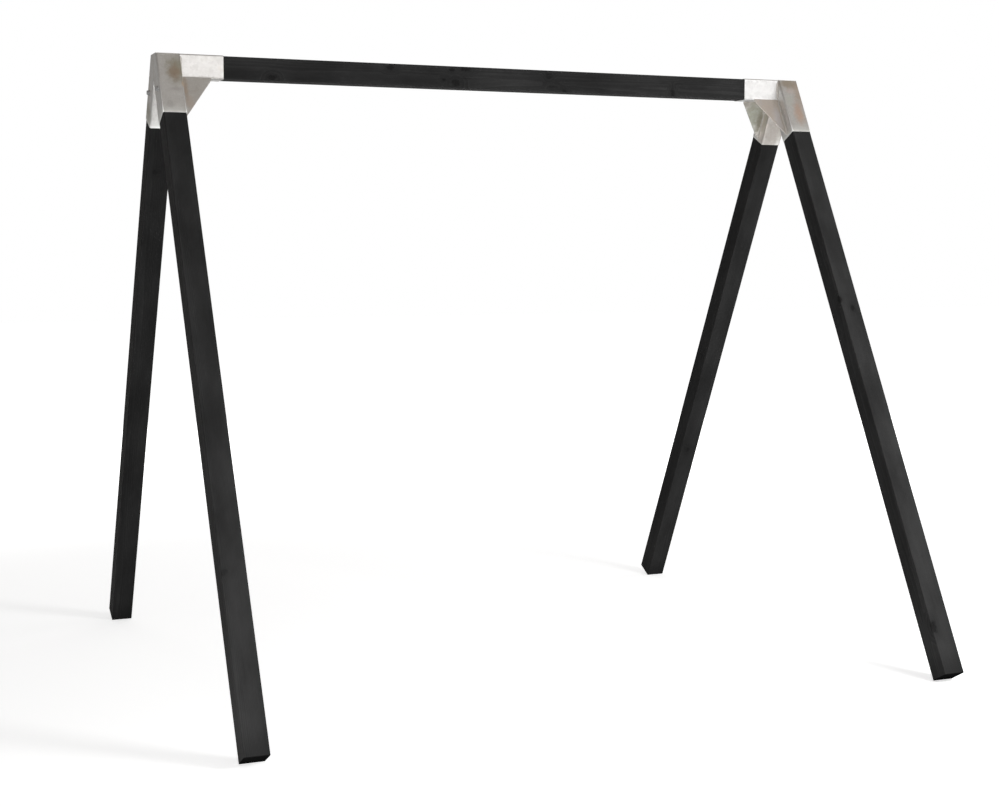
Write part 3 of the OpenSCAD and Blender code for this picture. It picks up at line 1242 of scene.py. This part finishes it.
@dataclass
class ScrewDress:
    """Dull zinc and softened edges for one set of screws or washers."""

    node: str
    effects: Effects
    rounding: float = 0.0004
    crystal_size: float = 0.003
    dark: Colour = (0.30, 0.30, 0.30, 1)
    pale: Colour = (0.50, 0.50, 0.51, 1)
    warm: Colour = (0.40, 0.36, 0.32, 1)
    rough: Span = (0.50, 0.62)

    def build(self) -> None:
        """Dresses the set."""
        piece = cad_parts[self.node]
        finish = ZincCoat(f"{self.node}_zinc", Matrix.Identity(4), crystal_size=self.crystal_size,
                          dark=self.dark, pale=self.pale, warm=self.warm,
                          rough_low=self.rough[0], rough_high=self.rough[1])
        dress(piece, finish.material(self.effects))
        SoftEdges(self.rounding).apply(piece)
        log.info("dressed %s", self.node)


@dataclass(frozen=True)
class PhotoCamera:
    """The photograph's camera, in metres, degrees and pixels of the photograph."""

    place: Point = (-2.7465, -6.9119, 1.6872)
    yaw: float = -23.627
    pitch: float = -3.856
    roll: float = 0.146
    level: float = 90.0
    focal_pixels: float = 1735.7
    centre: Span = (557.3, 374.1)
    image: tuple[int, int] = (999, 806)
    film_width: float = 36.0
    far_limit: float = 200.0

    def build(self) -> None:
        """Makes the camera the scene's own."""
        data = bpy.data.cameras.new("photo_camera")
        width, height = self.image
        data.sensor_fit = "HORIZONTAL"
        data.sensor_width = self.film_width
        data.lens = self.focal_pixels / width * self.film_width
        data.shift_x = (width / 2 - self.centre[0]) / width
        data.shift_y = (self.centre[1] - height / 2) / width
        data.clip_end = self.far_limit
        camera = bpy.data.objects.new("photo_camera", data)
        turn = Matrix.Identity(4)
        # An unturned camera looks straight down, so it is first brought level.
        for angle, axis in ((self.yaw, "Z"), (self.pitch, "X"), (self.roll, "Y"), (self.level, "X")):
            turn = turn @ Matrix.Rotation(math.radians(angle), 4, axis)
        camera.matrix_world = Matrix.Translation(self.place) @ turn
        bpy.context.scene.collection.objects.link(camera)
        bpy.context.scene.camera = camera


@dataclass(frozen=True)
class Softbox:
    """One large soft lamp, which the metal mirrors only where mirrored is true."""

    name: str
    place: Point
    target: Point
    size: Span
    watts: float
    mirrored: bool = False

    def build(self) -> None:
        """Hangs the lamp."""
        data = bpy.data.lights.new(self.name, "AREA")
        data.shape = "RECTANGLE"
        data.size, data.size_y = self.size
        data.energy = self.watts
        lamp = bpy.data.objects.new(self.name, data)
        lamp.visible_camera = False
        lamp.visible_glossy = self.mirrored
        aim = Vector(self.target) - Vector(self.place)
        lamp.matrix_world = Matrix.Translation(self.place) @ aim.to_track_quat("-Z", "Y").to_matrix().to_4x4()
        bpy.context.scene.collection.objects.link(lamp)


@dataclass(frozen=True)
class Studio:
    """Pale floor, white surroundings and soft lamps."""

    middle: Point = (0.0, 0.0, 1.3)
    floor_size: float = 80.0
    floor_parts: int = 8
    floor_colour: Colour = (0.84, 0.84, 0.84, 1)
    white: Colour = (1, 1, 1, 1)
    front: Colour = (1.50, 1.475, 1.46, 1)
    ceiling: Colour = (0.37, 0.345, 0.32, 1)
    rear: Colour = (0.37, 0.36, 0.35, 1)
    rear_turn: Span = (-0.35, 0.25)
    ceiling_turn: Span = (0.4, 0.75)
    floor_glow: float = 0.61
    front_glow: float = 0.66
    rear_glow: float = 0.28
    dimming: Span = (-0.9, 1.2)
    shadow_reach: float = 3.2
    floor_end: float = 7.0
    fill_level: float = 0.19

    def build(self) -> None:
        """Builds the floor, the surroundings and the lamps."""
        bpy.context.scene.view_settings.view_transform = "Standard"
        self.build_floor()
        self.build_world()
        for lamp in self.lamps():
            lamp.build()

    def lamps(self) -> Iterator[Softbox]:
        """Lists the lamps.

        Yields:
            Each lamp with its place, target, size and power.
        """
        yield Softbox("front_wall", (3.5, -11.0, 3.6), self.middle, (17.0, 6.4), 385.0)
        yield Softbox("right_panel", (8.5, -10.4, 3.2), self.middle, (6.0, 4.5), 70.0, mirrored=True)
        yield Softbox("left_low", (-2.1, -3.6, 0.30), (-1.4, -1.0, 0.5), (1.2, 0.5), 62.0)
        yield Softbox("right_low", (2.3, -3.8, 2.2), (1.4, -0.7, 1.5), (1.4, 0.9), 125.0)
        yield Softbox("back_wall", (2.5, 10.0, 3.5), self.middle, (14.0, 5.0), 520.0)
        yield Softbox("right_wall", (10.0, 1.5, 3.2), self.middle, (8.0, 4.5), 260.0)

    def build_floor(self) -> None:
        """Lays a white floor that keeps the frame's shadow."""
        shape = bmesh.new()
        parts = self.floor_parts
        bmesh.ops.create_grid(shape, x_segments=parts, y_segments=parts, size=self.floor_size / 2)
        mesh = bpy.data.meshes.new("studio_floor")
        shape.to_mesh(mesh)
        shape.free()
        floor = bpy.data.objects.new("studio_floor", mesh)
        bpy.context.scene.collection.objects.link(floor)
        made, graph = start_material("floor_white")
        lit = graph.place("ShaderNodeBsdfDiffuse", {"Color": self.floor_colour})
        where = graph.place("ShaderNodeTexCoord").outputs["Object"]
        glow = graph.fade(graph.length(where), self.shadow_reach, self.floor_end, self.floor_glow, 1.0)
        mirrored = graph.fade(graph.split(where)[1], *self.dimming, self.front_glow, self.rear_glow)
        path = graph.place("ShaderNodeLightPath").outputs
        strength = graph.math("MULTIPLY", path["Is Camera Ray"], glow)
        strength = graph.math("MULTIPLY_ADD", path["Is Glossy Ray"], mirrored, strength)
        plain = graph.place("ShaderNodeEmission", {"Color": self.white, "Strength": strength})
        both = graph.place("ShaderNodeAddShader", {0: lit.outputs[0], 1: plain.outputs[0]})
        graph.place("ShaderNodeOutputMaterial", {"Surface": both.outputs[0]})
        dress(floor, made)

    def build_world(self) -> None:
        """Surrounds the frame with white for the camera, and with a darker rear and ceiling for the metal."""
        world = bpy.data.worlds.new("studio_world")
        world.use_nodes = True
        graph = Graph(world.node_tree)
        toward = graph.split(graph.place("ShaderNodeTexCoord").outputs["Generated"])
        colour = graph.mix(graph.fade(toward[1], *self.rear_turn), self.front, self.rear)
        colour = graph.mix(graph.fade(toward[2], *self.ceiling_turn), colour, self.ceiling)
        path = graph.place("ShaderNodeLightPath").outputs
        colour = graph.mix(path["Is Camera Ray"], colour, self.white)
        seen = graph.math("MAXIMUM", path["Is Camera Ray"], path["Is Glossy Ray"])
        seen = graph.math("MAXIMUM", seen, path["Is Transmission Ray"])
        strength = graph.fade(seen, 0.0, 1.0, self.fill_level, 1.0)
        back = graph.place("ShaderNodeBackground", {"Color": colour, "Strength": strength})
        graph.place("ShaderNodeOutputWorld", {"Surface": back.outputs[0]})
        bpy.context.scene.world = world


def main() -> None:
    """Builds the classes in order."""
    logging.basicConfig(level=logging.INFO, format="%(name)s: %(message)s")
    effects = Effects()
    Posts(effects).build()
    for side in Side:
        CornerBracket(side, effects).build()
    for node in ("beam_screws", "beam_washers"):
        ScrewDress(node, effects).build()
    Studio().build()
    PhotoCamera().build()


if __name__ == "__main__":
    main()
